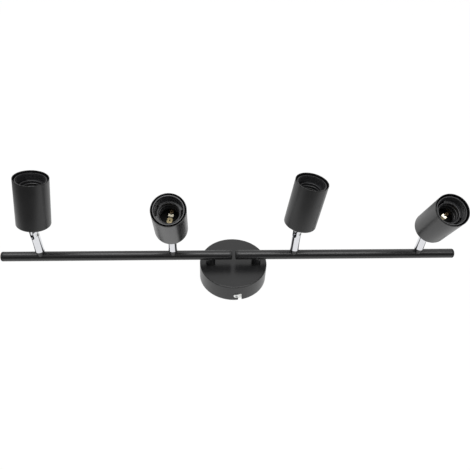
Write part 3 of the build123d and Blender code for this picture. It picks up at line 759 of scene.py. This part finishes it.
def cross_cut(tree, given, head, top):
    """The head with a cross recess in its top."""
    deep = add(tree, "ShaderNodeMath", {0: given["Recess Depth"], 1: 2.0}, operation="MULTIPLY")
    wing = add(tree, "ShaderNodeCombineXYZ", {
        "X": given["Recess Width"], "Y": given["Recess Length"], "Z": deep.outputs[0],
    })
    block = add(tree, "GeometryNodeMeshCube", {"Size": wing.outputs[0]})
    first = add(tree, "GeometryNodeTransform", {"Geometry": block.outputs[0], "Translation": top})
    second = add(tree, "GeometryNodeTransform", {
        "Geometry": block.outputs[0], "Translation": top, "Rotation": (0.0, 0.0, pi / 2),
    })
    cut = add(tree, "GeometryNodeMeshBoolean", {"Mesh 1": head}, operation="DIFFERENCE", solver="EXACT")
    tree.links.new(first.outputs[0], cut.inputs["Mesh 2"])
    tree.links.new(second.outputs[0], cut.inputs["Mesh 2"])
    return cut.outputs[0]


print("screw heads:", 2 * SIDE_SCREW["Head Radius"], "and", 2 * KNUCKLE_SCREW["Head Radius"], "mm wide")

# %% [markdown]
# A plain shank completes the screw. The tree stands one screw on each point of a mesh, along that
# point's own axis attribute, so it serves the canopy's side screws and the knuckle screws alike.

# %% Screw tree
SHANK_SIDES = 32


def screw_tree():
    tree, given = new_tree("pan_head_screw", SIDE_SCREW)
    half = add(tree, "ShaderNodeMath", {0: given["Head Height"], 1: 0.5}, operation="MULTIPLY")
    top = add(tree, "ShaderNodeCombineXYZ", {"Z": half.outputs[0]}).outputs[0]
    head = cross_cut(tree, given, crowned_head(tree, given), top)
    raised = add(tree, "GeometryNodeTransform", {"Geometry": head, "Translation": top})
    shank = add(tree, "GeometryNodeMeshCylinder", {
        "Vertices": SHANK_SIDES, "Side Segments": 1, "Fill Segments": 2,
        "Radius": given["Shank Radius"], "Depth": given["Shank Length"],
    }, fill_type="TRIANGLE_FAN")
    sunk = add(tree, "ShaderNodeMath", {0: given["Shank Length"], 1: -0.5}, operation="MULTIPLY")
    under = add(tree, "ShaderNodeCombineXYZ", {"Z": sunk.outputs[0]})
    hung = add(tree, "GeometryNodeTransform", {
        "Geometry": shank.outputs["Mesh"], "Translation": under.outputs[0],
    })
    screw = add(tree, "GeometryNodeJoinGeometry")
    tree.links.new(raised.outputs[0], screw.inputs[0])
    tree.links.new(hung.outputs[0], screw.inputs[0])
    axis = add(tree, "GeometryNodeInputNamedAttribute", {"Name": "axis"}, data_type="FLOAT_VECTOR")
    turn = add(tree, "FunctionNodeAlignRotationToVector", {"Vector": axis.outputs[0]}, axis="Z")
    screws = add(tree, "GeometryNodeInstanceOnPoints", {
        "Points": given["Geometry"], "Instance": screw.outputs[0], "Rotation": turn.outputs[0],
    })
    end_tree(tree, screws.outputs[0], given)
    return tree


def screw_points(places, axes):
    """Mesh with a point, and its axis, for each screw."""
    mesh = bpy.data.meshes.new("screw_points")
    mesh.from_pydata([tuple(place) for place in places], [], [])
    way = mesh.attributes.new("axis", "FLOAT_VECTOR", "POINT")
    for item, axis in zip(way.data, axes):
        item.vector = axis
    return mesh


pan_head_screw = screw_tree()
print("screw tree:", len(pan_head_screw.nodes), "nodes")

# %% [markdown]
# The two side screws pinch the canopy to its bracket. One shows in the photograph, bright in its
# notch. They stand just outside the canopy wall, on the line through both bracket tabs.

# %% Side screws
SCREW_SEAT_MM = 50.1
SCREW_HEIGHT_MM = 9.7
BRACKET_TURN = radians(3.1)
outward = [Vector((sin(BRACKET_TURN + half), -cos(BRACKET_TURN + half), 0)) for half in (0, pi)]
seats = [way * SCREW_SEAT_MM + Vector((0, 0, SCREW_HEIGHT_MM)) for way in outward]
side_mesh = grow(pan_head_screw, screw_points(seats, outward), bright_zinc, SIDE_SCREW)
side_screws = finish_piece("side_screws", side_mesh, Matrix.Scale(MM, 4), "root")
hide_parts("bracket_screws")
print("side screws:", len(side_mesh.polygons), "faces")

# %% [markdown]
# Washers, collars and eyelets are turned parts. A lathe could be a Screw modifier, but a short spin
# of a closed outline gives the finished mesh at once. Parts that belong together are joined into
# one piece, in which each keeps its own finish.

# %% Turned parts
MERGE_MM = 1e-4


def lathe(outline, steps, finish):
    """Spin a closed outline of (radius, height) points about Z."""
    work = bmesh.new()
    ring = [work.verts.new((radius, 0, height)) for radius, height in outline]
    edges = [work.edges.new((ring[i - 1], ring[i])) for i in range(len(ring))]
    bmesh.ops.spin(work, geom=ring + edges, cent=(0, 0, 0), axis=(0, 0, 1), angle=2 * pi, steps=steps)
    bmesh.ops.remove_doubles(work, verts=work.verts, dist=MERGE_MM)
    bmesh.ops.recalc_face_normals(work, faces=work.faces)
    mesh = bpy.data.meshes.new("lathe")
    work.to_mesh(mesh)
    work.free()
    mesh.materials.append(finish)
    return mesh


def join(name, meshes):
    """One mesh from several, keeping the finish of each."""
    work = bmesh.new()
    whole = bpy.data.meshes.new(name)
    for mesh in meshes:
        start = len(work.faces)
        work.from_mesh(mesh)
        finish = mesh.materials[0]
        if finish.name not in whole.materials:
            whole.materials.append(finish)
        work.faces.ensure_lookup_table()
        for face in work.faces[start:]:
            face.material_index = whole.materials.find(finish.name)
        bpy.data.meshes.remove(mesh)
    work.to_mesh(whole)
    work.free()
    return whole


print("turned parts are welded within", MERGE_MM, "mm")

# %% [markdown]
# Each knuckle is held by a cross-head screw with a black nylon friction washer on both sides of the
# tongue. The washers' black also paints the shade that falls deep in the slot. The washers are spun
# round the screw's axis.

# %% Knuckle screws and friction washers
KNUCKLE_SEAT_MM = 4.6
WASHER_START_MM = 1.76
WASHER_END_MM = 3.69
WASHER_RADII_MM = (2.06, 3.2)
WASHER_ROUND_MM = 0.25
WASHER_STEPS = 40


def washer_outline(low, high):
    inner, outer = WASHER_RADII_MM
    edge = WASHER_ROUND_MM
    return [(inner, low), (outer - edge, low), (outer, low + edge), (outer, high - edge),
            (outer - edge, high), (inner, high)]


for number in HEADS:
    seat = screw_points([(0, 0, KNUCKLE_SEAT_MM)], [(0, 0, 1)])
    set_mesh = join("knuckle_screw", [
        grow(pan_head_screw, seat, bright_zinc, KNUCKLE_SCREW),
        lathe(washer_outline(WASHER_START_MM, WASHER_END_MM), WASHER_STEPS, washer_black_and_slot_shade),
        lathe(washer_outline(-WASHER_END_MM, -WASHER_START_MM), WASHER_STEPS, washer_black_and_slot_shade),
    ])
    knuckle_set = finish_piece(f"knuckle_screw_{number}", set_mesh, knuckle_matrix(number),
                               f"stem_body_{number}")
    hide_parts(f"pivot_set_{number}")
print("knuckle screws:", len(set_mesh.polygons), "faces each")

# %% [markdown]
# Each stem turns in a black collar that is fixed to its tube. The collar is a turned part too. It
# could be cut to the tube's round, but letting its foot run on into the wall gives the same line
# where they meet. The photograph shows a slim neck there, so it narrows towards the tube. Two
# collars make one piece on each arm.

# %% Swivel collars
COLLAR_MM = {"bore": 4.1, "foot": 5.5, "top": 6.4, "height": 5.8, "round": 0.3}
TUBE_AXIS_MM = 43.4
TUBE_RADIUS_MM = 7.0
COLLAR_SINK_MM = 3.0
COLLAR_STEPS = 48
ARM_STEMS = {"left": (1, 2), "right": (3, 4)}


def swivel_collar(number):
    size = COLLAR_MM
    seat = TUBE_AXIS_MM + TUBE_RADIUS_MM
    foot = seat - COLLAR_SINK_MM
    rim = seat + size["height"]
    outline = [
        (size["bore"], foot), (size["foot"], foot), (size["foot"], seat),
        (size["top"], rim - size["round"]), (size["top"] - size["round"], rim), (size["bore"], rim),
    ]
    mesh = lathe(outline, COLLAR_STEPS, powder_coat)
    mesh.transform(Matrix.Translation((joint_of[f"swivel_{number}"]["pos_m"][0] / MM, 0, 0)))
    return mesh


for side, numbers in ARM_STEMS.items():
    collar_mesh = join("collar_pair", [swivel_collar(number) for number in numbers])
    collars = finish_piece(f"collar_pair_{side}", collar_mesh, Matrix.Scale(MM, 4),
                           f"arm_{side}")
    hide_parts(f"swivel_collars_{side}")
print("collars:", len(collar_mesh.polygons), "faces on each arm")

# %% [markdown]
# At the bottom of the bore lie the contacts: a brass plate with a hole, a forked leaf spring that
# rises outwards to meet the lamp's screw shell, and an eyelet. The plate is stamped from strip, so it
# is a flat curve with a hole, extruded, and the curve's own bevel breaks its edges.

# %% Contact plate
STRIP_MM = 0.8
PLATE_MM = {"middle": -0.9, "length": 8.2, "width": 7.0, "corner": 2.33, "hole": 1.2, "edge": 0.15}
HOLE_STEPS = 24
CORNER_STEPS = 6


def modified(name, shape, *modifiers):
    """A plain mesh from a mesh or curve and its modifiers, given as (type, settings)."""
    holder = bpy.data.objects.new(name, shape)
    bpy.context.scene.collection.objects.link(holder)
    for kind, settings in modifiers:
        modifier = holder.modifiers.new(kind, kind)
        for setting, value in settings.items():
            setattr(modifier, setting, value)
    graph = bpy.context.evaluated_depsgraph_get()
    result = bpy.data.meshes.new_from_object(holder.evaluated_get(graph), depsgraph=graph)
    bpy.data.objects.remove(holder)
    return result


def centre_plate():
    drawing = bpy.data.curves.new("centre_plate", "CURVE")
    drawing.dimensions = "2D"
    drawing.fill_mode = "BOTH"
    drawing.extrude = STRIP_MM / 2 - PLATE_MM["edge"]
    drawing.bevel_depth = PLATE_MM["edge"]
    drawing.bevel_resolution = 1
    corner = PLATE_MM["corner"]
    outline = []
    for quarter in range(4):
        turn = quarter * pi / 2
        side_x = 1 if quarter in (0, 3) else -1
        side_y = 1 if quarter in (0, 1) else -1
        centre_x = PLATE_MM["middle"] + side_x * (PLATE_MM["length"] / 2 - corner)
        centre_y = side_y * (PLATE_MM["width"] / 2 - corner)
        for step in range(CORNER_STEPS + 1):
            angle = turn + step / CORNER_STEPS * pi / 2
            outline.append((centre_x + corner * cos(angle), centre_y + corner * sin(angle)))
    hole = []
    for step in range(HOLE_STEPS):
        angle = step / HOLE_STEPS * 2 * pi
        hole.append((PLATE_MM["middle"] + PLATE_MM["hole"] * cos(angle), PLATE_MM["hole"] * sin(angle)))
    for loop in (outline, hole):
        line = drawing.splines.new("POLY")
        line.points.add(len(loop) - 1)
        for point, (x, y) in zip(line.points, loop):
            point.co = (x, y, 0, 1)
        line.use_cyclic_u = True
    mesh = modified("centre_plate", drawing)
    mesh.transform(Matrix.Translation((0, 0, STRIP_MM / 2)))
    mesh.materials.clear()
    mesh.materials.append(brass)
    return mesh


print("plate:", PLATE_MM["length"], "by", PLATE_MM["width"], "mm")

# %% [markdown]
# The leaf is cut from thinner strip and bent, so it is a grid that follows the bend along its length.
# Solidify gives it its thickness. The middle columns of the grid end sooner, which leaves the fork.

# %% Forked leaf
LEAF_MM = {"start": 3.4, "end": 8.1, "half_width": 3.5, "notch": 1.5, "foot": 1.6, "step": 1.0,
           "rise": 1.1, "thickness": 0.56, "edge": 0.1}
LEAF_GRID = (16, 14)


def leaf_height(along):
    """Height of the leaf's underside: an upright foot, then a gentle slope."""
    if along < LEAF_MM["foot"]:
        share = along / LEAF_MM["foot"]
        return LEAF_MM["step"] * share * share * (3 - 2 * share)
    slope = LEAF_MM["rise"] / (LEAF_MM["end"] - LEAF_MM["start"])
    return LEAF_MM["step"] + slope * (along - LEAF_MM["foot"])


def forked_leaf():
    work = bmesh.new()
    rows, columns = LEAF_GRID
    grid = []
    for i in range(rows + 1):
        line = []
        for j in range(columns + 1):
            across = (2 * j / columns - 1) * LEAF_MM["half_width"]
            cut = max(0.0, LEAF_MM["notch"] - abs(across))
            along = (LEAF_MM["end"] - LEAF_MM["start"] - cut) * i / rows
            line.append(work.verts.new((LEAF_MM["start"] + along, across, leaf_height(along))))
        grid.append(line)
    for i in range(rows):
        for j in range(columns):
            work.faces.new((grid[i][j], grid[i + 1][j], grid[i + 1][j + 1], grid[i][j + 1]))
    mesh = bpy.data.meshes.new("forked_leaf")
    work.to_mesh(mesh)
    work.free()
    mesh = modified("forked_leaf", mesh, ("SOLIDIFY", {"thickness": LEAF_MM["thickness"], "offset": 1.0}),
                    ("BEVEL", {"width": LEAF_MM["edge"], "segments": 1, "limit_method": "ANGLE"}))
    mesh.materials.append(tinned_bronze)
    return mesh


tip_height = leaf_height(LEAF_MM["end"] - LEAF_MM["start"])
print("leaf: its tip lies", round(tip_height, 2), "mm above the block")

# %% [markdown]
# The eyelet is a short tube with a rolled rim, spun as the washers are. It stands beside the leaf.
# The three parts make one piece on the floor of each bore.

# %% Eyelets and contact sets
FLOOR_DEPTH_MM = 36.0
EYELET_MM = {"place": 10.7, "radius": 2.5, "bore": 1.0, "height": 3.6, "roll": 0.4}
EYELET_STEPS = 24
ROLL_STEPS = 4


def eyelet():
    size = EYELET_MM
    roll = size["roll"]
    shoulder = size["height"] - roll
    turns = [step / ROLL_STEPS * pi / 2 for step in range(ROLL_STEPS + 1)]
    outer = [(size["radius"] - roll * (1 - cos(t)), shoulder + roll * sin(t)) for t in turns]
    inner = [(size["bore"] + roll * (1 - sin(t)), shoulder + roll * cos(t)) for t in turns]
    outline = [(size["radius"], 0), *outer, *inner, (size["bore"], 0)]
    mesh = lathe(outline, EYELET_STEPS, eyelet_brass)
    mesh.transform(Matrix.Translation((size["place"], 0, 0)))
    return mesh


for number in HEADS:
    contact_mesh = join("contact_set", [centre_plate(), forked_leaf(), eyelet()])
    on_floor = head_matrix(number) @ Matrix.Translation((0, 0, -FLOOR_DEPTH_MM))
    contact_set = finish_piece(f"contact_set_{number}", contact_mesh, on_floor,
                               f"head_{number}")
    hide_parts(f"contacts_{number}")
print("contacts:", len(contact_mesh.polygons), "faces in each set")
